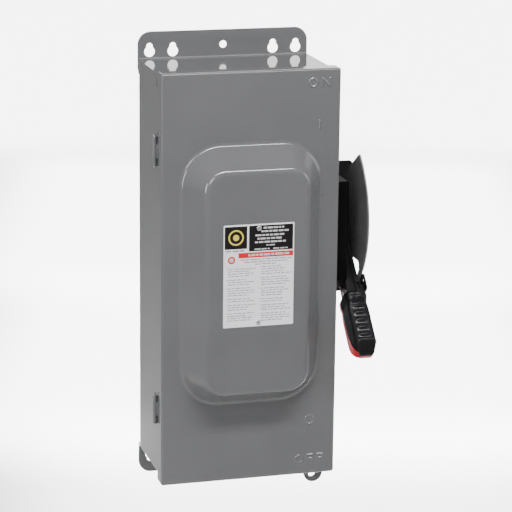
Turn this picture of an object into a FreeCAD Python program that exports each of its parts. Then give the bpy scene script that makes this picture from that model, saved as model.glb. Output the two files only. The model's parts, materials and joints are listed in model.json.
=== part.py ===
import FreeCAD, Part
import math
import os

# Side-operated, fusible, three-pole AC disconnect box (heavy-duty safety switch).
# Millimetres. The wall plane is y = 0 and the front faces -Y, +Z is up, +X is the handle side,
# and z = 0 is the middle of the steel box.

# ---------------------------------------------------------------- driving dimensions
SHEET = 1.5                      # steel sheet of box, end caps and cover

BOX_HALF_WIDTH = 101.0
BOX_HALF_HEIGHT = 236.0
BOX_DEPTH = 126.0
BOX_BEND = 2.5

CAP_TAB_DEPTH = 98.0             # how far the top cap's side tabs reach forward
CAP_TAB_HEIGHT = 16.0
CAP_BEND = 2.0
CAP_OVERHANG = 2.0               # outside of the top cap's tabs, from the box side
FLANGE_TOP = 269.7               # outer edge of the wall flanges
FLANGE_OVERHANG = 1.5
FLANGE_CORNER = 15.5
KEYHOLE_X = (60.5, 88.3)
KEYHOLE_WIDE = (246.1, 6.3)      # height of centre, radius
KEYHOLE_NARROW = (252.5, 3.9)
CENTRE_HOLE = (252.1, 4.4)
KNOCKOUT_PLACES = ((-50.0, -60.0), (30.0, -60.0))   # x, y in the bottom plate
KNOCKOUT_RADIUS = 17.0

COVER_HALF_WIDTH = 104.75
COVER_HALF_HEIGHT = 241.7
COVER_FRONT = 129.2
COVER_RIM = 19.7
COVER_BEND = 2.5

BULGE_BASE = (81.7, -145.5, 157.8, 46.0)       # half width, bottom, top, corner radius
BULGE_PLATEAU = (60.2, -125.8, 134.4, 23.0)
BULGE_HEIGHT = 32.8
BULGE_TOP_BEND = 9.0

LABEL = (0.4, 13.9, 82.6, 119.6, 0.5)          # centre x, centre z, width, height, thickness

HINGE_AXIS = (-106.5, -104.8)                  # x, y of the vertical pin
HINGE_RADIUS = 2.4
HINGE_PIN_RADIUS = 1.3
HINGE_LEAF = 1.2
HINGE_BOTTOMS = (133.2, -172.4)
HINGE_SPLIT = (9.4, 16.2, 8.4)                 # knuckle lengths from the bottom up
KNUCKLE_GAP = 0.3

EYE_X = 84.8                                   # padlock eyes under the cover's bottom rim
EYE_Z = -247.6
EYE_HOLE_Z = -249.6
EYE_RADIUS = 11.4
EYE_HOLE_RADIUS = 5.4
LATCH_EYE_Y = (-104.5, -102.5)
LATCH_PIVOT = (-90.0, -243.0)                  # y, z
LATCH_BARREL = 3.0
LATCH_PIN_RADIUS = 1.5
LATCH_ARM = 2.5

SHAFT_AXIS = (-29.0, 54.0)                     # y, z of the handle shaft
SHAFT_RADIUS = 8.0
STUB_RADIUS = 6.0
RUNNING_FIT = 0.05
OFF_ANGLE = 47.0                               # arm below level at OFF
THROW = 94.0

ARM_X = (123.0, 139.4)
ARM_SHEET = 3.0
ARM_FRONT = 5.5
ARM_REAR = -20.0
GRIP_X = (117.0, 142.3)
GRIP_START = 119.0

GUARD_X = (141.0, 143.0)
GUARD_RADIUS = 98.5
GUARD_APEX_ANGLE = 52.3
GUARD_FOOT_ANGLE = -62.0
GUARD_SHOULDER_Z = 81.0
GUARD_FOOT_Z = -33.0
WINDOW_ANGLES = (-40.5, -43.0, -46.0, -50.0, -54.0)      # padlock window, along the guard's arc
WINDOW_RADII = (62.5, 91.0)
BRACKET_Y = (-9.0, -6.0)
BRACKET_X = 160.0
BRACKET_Z = (-55.0, 107.0)

BASE_X = (101.0, 121.0)
BASE_Y = (-118.0, -9.0)
BASE_Z = (-22.0, 107.0)
BASE_WALL = 2.5
RIM_CLEAR_X = 107.0                            # the base is cut back here for the cover's rim
PLATE_THICKNESS = 2.5

ROTOR_AXIS = (-44.0, 104.0)
CROSSBAR_HALF = 7.0
CRANK_RADIUS = 16.0
CRANK_ANGLE = -63.7                            # crank direction at OFF, from straight forward
LINK_EYE = 4.0
LINK_PIN = 3.95
LINK_LOOSE_PIN = 3.7
BLADE_OFF_ANGLE = -4.0
BLADE_REACH = 56.0
BLADE_WIDTH = 16.0
BLADE_THICKNESS = 3.0

HUB_RADIUS = 15.0
SPINE = 3.5                                    # thickness of the red spine behind the arm
SPINE_START = 62.0
TANG_X = (127.2, 135.2)
TANG_END = 166.0
LOCK_PIN = 103.5                               # along the arm
LOCK_PIN_X = 136.8
LOCK_TRAVEL = 8.0

CATCH_X = (92.5, 98.5)                         # interlock catch: lip edge, outer face
CATCH_Y = -104.6                               # front face of its lip
CATCH_Z = (64.0, 78.0)
CATCH_SHEET = 2.0

SHAFT_START = 80.0
CRANK_X = (80.0, 84.0)
LINK_X = (75.6, 79.5)
ROTOR_CRANK_X = (71.0, 75.2)
HOOK_X = (87.0, 91.0)
HOOK_REACH = 80.0
HOOK_ON_ANGLE = 12.0
BEARING_X = ((-80.0, -76.0), (63.0, 67.0))
JOURNAL_RADIUS = 5.0

POLES = (-54.0, -6.0, 42.0)                    # x of the three poles
PAN_Y = (-8.0, -6.0)
BASE_SPAN = (-76.0, 62.0)                      # the insulators, side to side
LINE_FRONT = -30.0
LINE_Z = (136.0, 200.0)
LINE_LUG_Z = (174.0, 196.0)
LOAD_LUG_Z = (-112.0, -90.0)
LUG_DEPTH = 18.0
LUG_WIRE_RADIUS = 5.5
LUG_SCREW_RADIUS = 4.5
HOOD_HALF = 14.0                               # arc hoods
HOOD_WALL = 2.0
HOOD_FRONT = -80.0
HOOD_Z = (140.0, 173.0)
JAW_Z = (139.0, 165.0)
FUSE_BASE_Z = (40.0, 70.5)
LOAD_BASE_Z = (-114.0, -60.0)
GROUND_LUG = (-69.0, -9.0, -196.0)             # middle of its wire hole
CLIP_SEAT = -42.5                              # front face that the fuse clips stand on
FUSE_RADIUS = 13.5
FUSE_Y = -58.0
FUSE_Z = (-79.0, 70.0)
FERRULE = 16.0
CLIP_SHEET = 1.5
JAW_LEAF = 1.6
JAW_GAP = 3.6

FRONT = FreeCAD.Vector(0, -1, 0)
UP = FreeCAD.Vector(0, 0, 1)
RIGHT = FreeCAD.Vector(1, 0, 0)


# ---------------------------------------------------------------- shape helpers
def vec(x, y, z):
    return FreeCAD.Vector(x, y, z)


def block(x0, x1, y0, y1, z0, z1):
    low = vec(min(x0, x1), min(y0, y1), min(z0, z1))
    return Part.makeBox(abs(x1 - x0), abs(y1 - y0), abs(z1 - z0), low)


def rod(radius, start, end):
    along = end.sub(start)
    return Part.makeCylinder(radius, along.Length, start, along)


def rod_x(radius, yz, x0, x1):
    return rod(radius, vec(x0, yz[0], yz[1]), vec(x1, yz[0], yz[1]))


def rod_y(radius, x, z, y0, y1):
    return rod(radius, vec(x, y0, z), vec(x, y1, z))


def rod_z(radius, x, y, z0, z1):
    return rod(radius, vec(x, y, z0), vec(x, y, z1))


def plate_x(points, x0, x1):
    outline = [vec(x0, y, z) for y, z in points]
    face = Part.Face(Part.makePolygon(outline + outline[:1]))
    return face.extrude(vec(x1 - x0, 0, 0))


def plate_y(points, y0, y1):
    outline = [vec(x, y0, z) for x, z in points]
    face = Part.Face(Part.makePolygon(outline + outline[:1]))
    return face.extrude(vec(0, y1 - y0, 0))


def plate_z(points, z0, z1):
    outline = [vec(x, y, z0) for x, y in points]
    face = Part.Face(Part.makePolygon(outline + outline[:1]))
    return face.extrude(vec(0, 0, z1 - z0))


def join(shapes):
    first, rest = shapes[0], shapes[1:]
    return first.fuse(rest).removeSplitter() if rest else first


def group(shapes):
    return Part.makeCompound(shapes)


def mirrored_in_z(shape):
    return shape.mirror(vec(0, 0, 0), UP)


def edges_where(shape, test):
    return [edge for edge in shape.Edges if test(edge)]


def runs_along(edge, direction):
    if len(edge.Vertexes) != 2 or not isinstance(edge.Curve, Part.Line):
        return False
    span = edge.Vertexes[1].Point.sub(edge.Vertexes[0].Point)
    return abs(span.normalize().dot(direction)) > 0.999


def round_edges(shape, radius, test):
    return shape.makeFillet(radius, edges_where(shape, test))


def polar(centre, radius, degrees):
    """Point in the YZ plane; 0 degrees is straight forward, positive turns up."""
    turn = math.radians(degrees)
    return (centre[0] - radius * math.cos(turn), centre[1] + radius * math.sin(turn))


def on_handle(along, across):
    """Point in the YZ plane from its place along and across the arm at OFF."""
    start = polar(SHAFT_AXIS, along, -OFF_ANGLE)
    return polar(start, across, 90.0 - OFF_ANGLE)


def rounded_wire(half_width, bottom, top, corner, y, centre_x=0.0):
    """Rounded rectangle in a plane y = constant, as lines and quarter circles."""
    edges = []
    sides = ((1, 1), (-1, 1), (-1, -1), (1, -1))
    starts = []
    for sx, sz in sides:
        cx = centre_x + sx * (half_width - corner)
        cz = top - corner if sz > 0 else bottom + corner
        side = vec(cx + sx * corner, y, cz)
        cap = vec(cx, y, cz + sz * corner)
        middle = vec(cx + sx * corner * math.sqrt(0.5), y, cz + sz * corner * math.sqrt(0.5))
        first, last = (side, cap) if sx * sz > 0 else (cap, side)
        starts.append((first, middle, last))
    for index, (first, middle, last) in enumerate(starts):
        edges.append(Part.Arc(first, middle, last).toShape())
        following = starts[(index + 1) % 4][0]
        edges.append(Part.makeLine(last, following))
    return Part.Wire(edges)


def screw(head_radius, head_height, shank_radius, start, inward, length):
    """Pan-head screw: start is the seat, inward points down the shank."""
    unit = FreeCAD.Vector(inward).normalize()
    head = Part.makeCone(head_radius, head_radius * 0.7, head_height, start, unit.negative())
    slot_end = start.sub(unit * (head_height * 0.55))
    shank = Part.makeCylinder(shank_radius, length, start, unit)
    body = join([head, shank])
    recess = Part.makeCylinder(head_radius * 0.35, head_height, slot_end, unit.negative())
    return body.cut(recess)


# ---------------------------------------------------------------- steel box
def box_wrapper():
    """Back and sides bent from one sheet, open at the top, bottom and front."""
    outer = block(-BOX_HALF_WIDTH, BOX_HALF_WIDTH, -BOX_DEPTH, 0, -BOX_HALF_HEIGHT, BOX_HALF_HEIGHT)
    outer = round_edges(outer, BOX_BEND, lambda e: runs_along(e, UP) and e.BoundBox.YMin > -1)
    inside = BOX_HALF_WIDTH - SHEET
    hollow = block(-inside, inside, -BOX_DEPTH - 1, -SHEET, -BOX_HALF_HEIGHT - 1, BOX_HALF_HEIGHT + 1)
    shell = outer.cut(hollow)
    cuts = [rod_x(SHAFT_RADIUS + 2, SHAFT_AXIS, BOX_HALF_WIDTH - 3, BOX_HALF_WIDTH + 3)]
    for bottom in HINGE_BOTTOMS:
        top = bottom + sum(HINGE_SPLIT)
        cuts.append(block(-BOX_HALF_WIDTH - 3, -BOX_HALF_WIDTH + 3, -106.6, -102.4, bottom - 1, top + 1))
    for y, z in base_screw_places():
        cuts.append(rod_x(2.3, (y, z), BOX_HALF_WIDTH - 3, BOX_HALF_WIDTH + 3))
    for x, z in pan_screw_places():
        cuts.append(rod_y(2.3, x, z, -3, 1))
    return shell.cut(cuts)


def wall_flange():
    """Flat flange against the wall, with two pairs of keyholes and a centre hole."""
    half = BOX_HALF_WIDTH + FLANGE_OVERHANG
    z_foot = BOX_HALF_HEIGHT + 0.3
    flange = block(-half, half, -SHEET, 0, z_foot, FLANGE_TOP)
    flange = round_edges(flange, FLANGE_CORNER,
                         lambda e: runs_along(e, FRONT) and e.BoundBox.ZMin > z_foot + 1)
    cuts = [rod_y(CENTRE_HOLE[1], 0, CENTRE_HOLE[0], -5, 5)]
    wide_z, wide_r = KEYHOLE_WIDE
    narrow_z, narrow_r = KEYHOLE_NARROW
    for x in KEYHOLE_X:
        for side in (-1, 1):
            cuts.append(rod_y(wide_r, side * x, wide_z, -5, 5))
            cuts.append(rod_y(narrow_r, side * x, narrow_z, -5, 5))
            cuts.append(block(side * x - narrow_r, side * x + narrow_r, -5, 5, wide_z, narrow_z))
    return flange.cut(cuts)


def top_wall_flange():
    return wall_flange()


def bottom_wall_flange():
    """Lower flange, whose ears stand up outside the box's rear corners."""
    half = BOX_HALF_WIDTH + FLANGE_OVERHANG
    ears = []
    for side in (-1, 1):
        outer = side * half
        inner = side * (BOX_HALF_WIDTH + 0.3)
        points = [(inner, BOX_HALF_HEIGHT + 0.3), (outer, BOX_HALF_HEIGHT + 0.3),
                  (outer, BOX_HALF_HEIGHT - 5.0), (inner, BOX_HALF_HEIGHT - 6.0)]
        ears.append(plate_y(points, -SHEET, 0))
    return mirrored_in_z(join([wall_flange()] + ears))


def top_end_cap():
    """Top cap: a plate across the box with side tabs bent down outside it."""
    plate_z0 = BOX_HALF_HEIGHT + 0.3
    plate_z1 = plate_z0 + SHEET
    half = BOX_HALF_WIDTH + CAP_OVERHANG
    rear = -SHEET - 0.3
    plate = block(-half, half, -CAP_TAB_DEPTH, rear, plate_z0, plate_z1)
    tongue = block(-BOX_HALF_WIDTH, BOX_HALF_WIDTH, -BOX_DEPTH, -CAP_TAB_DEPTH, plate_z0, plate_z1)
    tabs = []
    for side in (-1, 1):
        tab = block(side * (half - SHEET), side * half, -CAP_TAB_DEPTH, rear,
                    plate_z1 - CAP_TAB_HEIGHT, plate_z0)
        low = plate_z1 - CAP_TAB_HEIGHT
        corner = plate_x([(rear - 5.5, low), (rear + 0.1, low), (rear + 0.1, low + 5.6)],
                         side * (half - 3), side * (half + 1))
        tabs.append(tab.cut(corner))
    body = join([plate, tongue] + tabs)
    return round_edges(body, CAP_BEND * 0.7, lambda e: runs_along(e, FRONT)
                       and abs(abs(e.BoundBox.XMin) - half) < 0.01 and abs(e.BoundBox.ZMax - plate_z1) < 0.01)


def bottom_plate_levels():
    return -BOX_HALF_HEIGHT + 0.3, -BOX_HALF_HEIGHT + 0.3 + SHEET


def bottom_end_cap():
    """Bottom plate between the box sides, with its side flanges bent up inside them."""
    z0, z1 = bottom_plate_levels()
    half = BOX_HALF_WIDTH - SHEET - 0.3
    parts = [block(-half, half, -BOX_DEPTH, -SHEET - 0.3, z0, z1)]
    for side in (-1, 1):
        parts.append(block(side * (half - SHEET), side * half, -CAP_TAB_DEPTH, -SHEET - 0.3,
                           z0, z0 + CAP_TAB_HEIGHT))
    holes = [rod_z(KNOCKOUT_RADIUS + 0.25, x, y, z0 - 2, z1 + 2) for x, y in KNOCKOUT_PLACES]
    return join(parts).cut(holes)


def bottom_knockouts():
    z0, z1 = bottom_plate_levels()
    return group([rod_z(KNOCKOUT_RADIUS, x, y, z0, z1) for x, y in KNOCKOUT_PLACES])


# ---------------------------------------------------------------- cover hinge
def knuckle(z0, z1):
    x, y = HINGE_AXIS
    return rod_z(HINGE_RADIUS, x, y, z0 + KNUCKLE_GAP / 2, z1 - KNUCKLE_GAP / 2)


def hinge_bore(bottom):
    x, y = HINGE_AXIS
    return rod_z(HINGE_PIN_RADIUS + RUNNING_FIT, x, y, bottom - 5, bottom + sum(HINGE_SPLIT) + 5)


def knuckle_levels(bottom):
    low, middle, _ = HINGE_SPLIT
    return (bottom, bottom + low, bottom + low + middle, bottom + sum(HINGE_SPLIT))


def box_hinge_leaves():
    """Outer knuckles, with straps through the slots to leaves on the inside of the box."""
    x, y = HINGE_AXIS
    inside = -BOX_HALF_WIDTH + SHEET
    leaves = []
    for bottom in HINGE_BOTTOMS:
        level = knuckle_levels(bottom)
        parts = []
        for z0, z1 in ((level[0], level[1]), (level[2], level[3])):
            parts.append(knuckle(z0, z1))
            parts.append(block(x, inside + HINGE_LEAF, y, y + HINGE_LEAF,
                               z0 + KNUCKLE_GAP / 2, z1 - KNUCKLE_GAP / 2))
        parts.append(block(inside, inside + HINGE_LEAF, y, y + 24, level[0] + 0.15, level[3] - 0.15))
        leaves.append(join(parts).cut(hinge_bore(bottom)))
    return group(leaves)


def cover_hinge_leaves():
    """Middle knuckles, each on a leaf that lies inside the cover's left rim."""
    x, y = HINGE_AXIS
    rim_inside = -COVER_HALF_WIDTH + SHEET
    leaves = []
    for bottom in HINGE_BOTTOMS:
        level = knuckle_levels(bottom)
        z0 = level[1] + KNUCKLE_GAP / 2
        z1 = level[2] - KNUCKLE_GAP / 2
        strap = plate_z([(x + 1.2, y - 2.0), (x + 2.2, y - 0.6), (rim_inside + HINGE_LEAF, y - 5.2),
                         (rim_inside + HINGE_LEAF, y - 20.0), (rim_inside, y - 20.0),
                         (rim_inside, y - 5.6)], z0, z1)
        leaves.append(join([knuckle(level[1], level[2]), strap]).cut(hinge_bore(bottom)))
    return group(leaves)


def hinge_pins():
    x, y = HINGE_AXIS
    pins = []
    for bottom in HINGE_BOTTOMS:
        top = bottom + sum(HINGE_SPLIT)
        shank = rod_z(HINGE_PIN_RADIUS, x, y, bottom - 1.0, top + 2.2)
        hook = rod(HINGE_PIN_RADIUS, vec(x, y, top + 1.5), vec(x - 1.2, y, top + 3.4))
        pins.append(join([shank, hook]))
    return group(pins)


# ---------------------------------------------------------------- cover
def bulge(offset, y_base):
    """Deep-drawn raised panel, as a loft from its foot to its plateau."""
    half, low, high, corner = BULGE_BASE
    foot = rounded_wire(half - offset, low + offset, high - offset, corner - offset, y_base)
    half, low, high, corner = BULGE_PLATEAU
    y_top = -COVER_FRONT - BULGE_HEIGHT + offset
    plateau = rounded_wire(half - offset, low + offset, high - offset, corner - offset, y_top)
    return Part.makeLoft([foot, plateau], True, True)


def cover_skin(offset):
    half = COVER_HALF_WIDTH - offset
    tall = COVER_HALF_HEIGHT - offset
    pan = block(-half, half, -COVER_FRONT + offset, -COVER_FRONT + COVER_RIM + 5 * offset, -tall, tall)
    pan = round_edges(pan, max(COVER_BEND - offset, 0.8),
                      lambda e: e.BoundBox.YMax < -COVER_FRONT + offset + 0.1)
    return pan


def eye_tab(radius, y0, y1, z_top):
    """Tab hanging from z_top with a round end and a padlock hole."""
    disc = rod_y(radius, EYE_X, EYE_Z, y0, y1)
    neck = block(EYE_X - radius, EYE_X + radius, y0, y1, EYE_Z, z_top)
    above = block(EYE_X - 2 * radius, EYE_X + 2 * radius, y0 - 1, y1 + 1, z_top, z_top + 2 * radius)
    hole = rod_y(EYE_HOLE_RADIUS, EYE_X, EYE_HOLE_Z, y0 - 1, y1 + 1)
    return join([disc, neck]).cut([above, hole])


def cover_pan():
    """Pan-shaped cover: front sheet with the raised panel, and a rim bent back all round."""
    outer = join([cover_skin(0.0), bulge(0.0, -COVER_FRONT)])
    top_y = -COVER_FRONT - BULGE_HEIGHT
    outer = round_edges(outer, BULGE_TOP_BEND, lambda e: e.BoundBox.YMax < top_y + 0.1)
    inner = join([cover_skin(SHEET), bulge(SHEET, -COVER_FRONT + SHEET + 0.01)])
    inner = round_edges(inner, BULGE_TOP_BEND - SHEET, lambda e: e.BoundBox.YMax < top_y + SHEET + 0.1)
    shell = outer.cut(inner)
    rim_edge = -COVER_FRONT + COVER_RIM
    cuts = []
    for bottom in HINGE_BOTTOMS:
        cuts.append(block(-COVER_HALF_WIDTH - 1, -COVER_HALF_WIDTH + 2, rim_edge - 3.5, rim_edge + 1,
                          bottom - 1.5, bottom + sum(HINGE_SPLIT) + 1.5))
    shell = shell.cut(cuts)
    eye = eye_tab(EYE_RADIUS, rim_edge - SHEET, rim_edge, -COVER_HALF_HEIGHT + SHEET)
    return join([shell, eye])


def label_plate():
    """Data label on the raised panel."""
    x, z, width, height, thickness = LABEL
    y = -COVER_FRONT - BULGE_HEIGHT
    plate = block(x - width / 2, x + width / 2, y - thickness, y, z - height / 2, z + height / 2)
    return round_edges(plate, 2.0, lambda e: runs_along(e, FRONT))


def cover_catch():
    """Angle inside the cover, behind whose lip the interlock finger cannot pass while ON."""
    z0, z1 = CATCH_Z
    inner_face = -COVER_FRONT + SHEET
    wall = block(CATCH_X[1] - CATCH_SHEET, CATCH_X[1], inner_face, CATCH_Y + CATCH_SHEET, z0, z1)
    lip = block(CATCH_X[0], CATCH_X[1], CATCH_Y, CATCH_Y + CATCH_SHEET, z0, z1)
    foot = block(CATCH_X[1] - 10, CATCH_X[1], inner_face, inner_face + CATCH_SHEET, z0, z1)
    return join([wall, lip, foot])


# ---------------------------------------------------------------- cover latch
def latch_bracket():
    """Two ears under the bottom cap that carry the latch pin."""
    y, z = LATCH_PIVOT
    z_cap = bottom_plate_levels()[0]
    plate = block(EYE_X - 14.5, EYE_X + 14.5, y - 7, y + 10, z_cap - 1.5, z_cap)
    ears = [block(EYE_X + side * 13.0, EYE_X + side * 14.5, y - 5, y + 5, z - 4.5, z_cap) for side in (-1, 1)]
    bore = rod_x(LATCH_PIN_RADIUS, LATCH_PIVOT, EYE_X - 20, EYE_X + 20)
    return join([plate] + ears).cut(bore)


def latch_pin():
    return rod_x(LATCH_PIN_RADIUS, LATCH_PIVOT, EYE_X - 16.5, EYE_X + 16.5)


def latch_spring():
    """Torsion spring round the latch pin, between the latch's two arms."""
    coil = Part.makeHelix(1.0, 9.0, 2.4)
    wire = Part.Wire(Part.makeCircle(0.4, vec(2.4, 0, 0), vec(0, 1, 0)))
    body = Part.Wire(coil.Edges).makePipeShell([wire], True, True)
    body.rotate(vec(0, 0, 0), vec(0, 1, 0), 90)
    body.translate(vec(EYE_X - 4.5, LATCH_PIVOT[0], LATCH_PIVOT[1]))
    return body


def cover_latch():
    """Sprung hasp behind the cover's padlock eye, on two arms from its pin."""
    y, z = LATCH_PIVOT
    eye_front, eye_back = LATCH_EYE_Y
    eye = eye_tab(EYE_RADIUS - 1.0, eye_front, eye_back, z + 1.5)
    arms = []
    for side in (-1, 1):
        inner = EYE_X + side * (EYE_RADIUS - 1 - LATCH_ARM)
        outer = EYE_X + side * (EYE_RADIUS - 1)
        arms.append(block(inner, outer, eye_back, y, z - 1.5, z + 1.5))
        arms.append(rod_x(LATCH_BARREL, LATCH_PIVOT, min(inner, outer), max(inner, outer)))
    bore = rod_x(LATCH_PIN_RADIUS + RUNNING_FIT, LATCH_PIVOT, EYE_X - 20, EYE_X + 20)
    return join([eye] + arms).cut(bore)


# ---------------------------------------------------------------- operating mechanism
def base_screw_places():
    return [(y, z) for y in (-90.0, -19.0) for z in (-10.0, 95.0)]


def pan_screw_places():
    return [(x, z) for x in (-81.0, 66.5) for z in (-150.0, 185.0)]


def handle_base():
    """Moulded housing on the box side that carries the shaft."""
    x0, x1 = BASE_X
    y0, y1 = BASE_Y
    z0, z1 = BASE_Z
    chamfer = 12.0
    outline = [(y1, z0), (y0 + chamfer, z0), (y0, z0 + chamfer), (y0, z1), (y1, z1)]
    body = plate_x(outline, x0, x1)
    body = round_edges(body, 3.0, lambda e: e.BoundBox.XMin > x1 - 0.1)
    hollow = block(x0 - 1, x1 - BASE_WALL, y0 + chamfer, y1 - BASE_WALL, z0 + BASE_WALL, z1 - BASE_WALL)
    body = body.cut(hollow)
    posts = [rod_x(5.0, place, x0, x1 - 1) for place in base_screw_places()]
    posts.append(rod_x(15.0, SHAFT_AXIS, x0, x1 + 1.5))
    body = join([body] + posts)
    cuts = [rod_x(SHAFT_RADIUS + RUNNING_FIT, SHAFT_AXIS, x0 - 1, x1 + 3)]
    cuts.append(block(x0 - 1, RIM_CLEAR_X, y0 - 1, -103.0, z0 - 1, z1 + 1))
    for place in base_screw_places():
        cuts.append(rod_x(2.0, place, x0 - 1, x0 + 14))
    return body.cut(cuts)


def base_screws():
    start_x = BOX_HALF_WIDTH - SHEET - PLATE_THICKNESS
    return group([screw(4.0, 2.4, 2.0, vec(start_x, y, z), RIGHT, 13.0) for y, z in base_screw_places()])


def mechanism_plate():
    """Steel plate on the inside of the right wall, behind the handle base."""
    x1 = BOX_HALF_WIDTH - SHEET
    x0 = x1 - PLATE_THICKNESS
    plate = block(x0, x1, -97.0, -11.0, -18.0, 103.0)
    plate = round_edges(plate, 6.0, lambda e: runs_along(e, RIGHT))
    cuts = [rod_x(SHAFT_RADIUS + RUNNING_FIT, SHAFT_AXIS, x0 - 1, x1 + 1)]
    cuts += [rod_x(2.05, place, x0 - 1, x1 + 1) for place in base_screw_places()]
    return plate.cut(cuts)


def guard_bracket():
    """Rear wall behind the guard, screwed to the back of the handle base."""
    y0, y1 = BRACKET_Y
    z0, z1 = BRACKET_Z
    wall = block(BOX_HALF_WIDTH + 0.5, BRACKET_X, y0, y1, z0, z1)
    wall = round_edges(wall, 4.0, lambda e: runs_along(e, FRONT) and e.BoundBox.XMin > BRACKET_X - 1)
    foot = block(BOX_HALF_WIDTH, BOX_HALF_WIDTH + 2.5, y0, -2.5, z0, z1 - 1)
    return join([wall, foot])


def guard_outline():
    """Outer edge of the guard: an arc about the shaft, a straight shoulder and a straight foot."""
    steps = 40
    span = GUARD_FOOT_ANGLE - GUARD_APEX_ANGLE
    arc = [polar(SHAFT_AXIS, GUARD_RADIUS, GUARD_APEX_ANGLE + span * i / steps) for i in range(steps + 1)]
    return arc + [(BRACKET_Y[0], GUARD_FOOT_Z), (BRACKET_Y[0], GUARD_SHOULDER_Z)]


def guard_window():
    """Padlock window near the lower end of the arc."""
    inner, outer = WINDOW_RADII
    points = [polar(SHAFT_AXIS, outer, angle) for angle in WINDOW_ANGLES]
    points += [polar(SHAFT_AXIS, inner, -54.0), polar(SHAFT_AXIS, inner + 1, -50.5)]
    points += [(-93.6, 4.9), (-97.4, 0.9)]
    return points


def guard_plate():
    """Quadrant guard outboard of the arm, with a flange riveted to the bracket."""
    x0, x1 = GUARD_X
    plate = plate_x(guard_outline(), x0, x1)
    plate = plate.cut(plate_x(guard_window(), x0 - 1, x1 + 1))
    flange = block(x0 - 10, x1, BRACKET_Y[0] - 2.0, BRACKET_Y[0], GUARD_FOOT_Z, GUARD_SHOULDER_Z)
    body = join([plate, flange])
    return body.cut(rod_x(STUB_RADIUS + RUNNING_FIT, SHAFT_AXIS, x0 - 1, x1 + 1))


def rivet(radius, height, seat, outward):
    """Domed rivet head on its seat."""
    ball = Part.makeSphere(radius * 1.25, seat.sub(outward * (radius * 1.25 - height)))
    slab = Part.makeCylinder(radius, height * 1.5, seat, outward)
    return slab.common(ball)


def guard_rivets():
    seat_y = BRACKET_Y[0] - 2.0
    heads = [rivet(3.5, 1.8, vec(136.0, seat_y, z), FRONT) for z in (-20.0, 10.0, 74.0)]
    return group(heads)


# ---------------------------------------------------------------- handle
def handle_plate(points, x0, x1):
    """Plate in the arm's own plane, from points given along and across the arm."""
    return plate_x([on_handle(along, across) for along, across in points], x0, x1)


def handle_shaft():
    main = rod_x(SHAFT_RADIUS, SHAFT_AXIS, SHAFT_START, GUARD_X[0] - 0.4)
    stub = rod_x(STUB_RADIUS, SHAFT_AXIS, GUARD_X[0] - 0.4, GUARD_X[1] + 0.4)
    head = rod_x(9.0, SHAFT_AXIS, GUARD_X[1] + 0.4, GUARD_X[1] + 4.0)
    head = round_edges(head, 1.2, lambda e: e.BoundBox.XMin > GUARD_X[1] + 3.9)
    return join([main, stub, head])


def handle_arm():
    """Channel-section arm, open at the rear, with a hub on the shaft and a tang in the grip."""
    x0, x1 = ARM_X
    outline = [(-4, 5), (6, ARM_FRONT + 8), (40, ARM_FRONT), (GRIP_START, ARM_FRONT),
               (GRIP_START, ARM_REAR + SPINE), (46, ARM_REAR + SPINE), (12, -13), (-4, -8)]
    body = handle_plate(outline, x0, x1)
    body = join([body, rod_x(HUB_RADIUS, SHAFT_AXIS, x0, x1)])
    hollow = [(26, ARM_FRONT - ARM_SHEET), (GRIP_START - 6, ARM_FRONT - ARM_SHEET),
              (GRIP_START - 6, ARM_REAR - 5), (46, ARM_REAR - 5), (26, -20)]
    body = body.cut(handle_plate(hollow, x0 + ARM_SHEET, x1 - ARM_SHEET))
    groove = [(52, ARM_FRONT - 1.0), (GRIP_START - 4, ARM_FRONT - 1.0), (GRIP_START - 4, 20), (52, 20)]
    body = body.cut(handle_plate(groove, x0 + 5.2, x1 - 5.2))
    tang = handle_plate([(GRIP_START - 1, -9), (TANG_END, -9), (TANG_END, 3), (GRIP_START - 1, 3)],
                        TANG_X[0], TANG_X[1])
    body = join([body, tang])
    return body.cut(rod_x(SHAFT_RADIUS + 0.02, SHAFT_AXIS, x0 - 1, x1 + 1))


def grip_outline():
    return [(GRIP_START, 14.0), (124, 19.0), (131, 19.0), (138, 16.5), (186, 17.5), (198, 5.0),
            (199, -4.0), (185, -17.5), (172, -19.5), (126, -19.5), (GRIP_START, -14.5)]


def part_line():
    return [(GRIP_START - 1, -12.8), (152, -11.3), (168, -9.8), (180, -4.4), (190, 2.2), (204, 13.5)]


def grip_body():
    x0, x1 = GRIP_X
    body = handle_plate(grip_outline(), x0, x1)
    body = round_edges(body, 2.5, lambda e: e.BoundBox.XLength < 0.01)
    pocket = handle_plate([(GRIP_START - 2, -9.1), (TANG_END + 0.2, -9.1), (TANG_END + 0.2, 3.1),
                           (GRIP_START - 2, 3.1)], TANG_X[0] - 0.1, TANG_X[1] + 0.1)
    return body.cut(pocket)


def rear_half():
    return handle_plate(part_line() + [(204, -30), (GRIP_START - 1, -30)], GRIP_X[0] - 1, GRIP_X[1] + 1)


def grip_front():
    return grip_body().cut(rear_half())


def grip_back():
    """Red rear shell of the grip, with a spine up the back of the arm."""
    shell = grip_body().common(rear_half())
    spine = handle_plate([(SPINE_START, ARM_REAR), (GRIP_START + 6, ARM_REAR + 2.5),
                          (GRIP_START + 6, ARM_REAR + SPINE + 1), (GRIP_START, ARM_REAR + SPINE),
                          (SPINE_START, ARM_REAR + SPINE)], ARM_X[0], ARM_X[1])
    return join([shell, spine])


def grip_screws():
    """Two screws in the side of the grip that clamp its halves on the tang."""
    heads = []
    for along in (134.0, 158.0):
        y, z = on_handle(along, -3.0)
        heads.append(rivet(3.0, 1.0, vec(GRIP_X[1], y, z), RIGHT))
    return group(heads)


def shaft_disc(radius, x0, x1):
    return rod_x(radius, SHAFT_AXIS, x0, x1)


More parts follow.
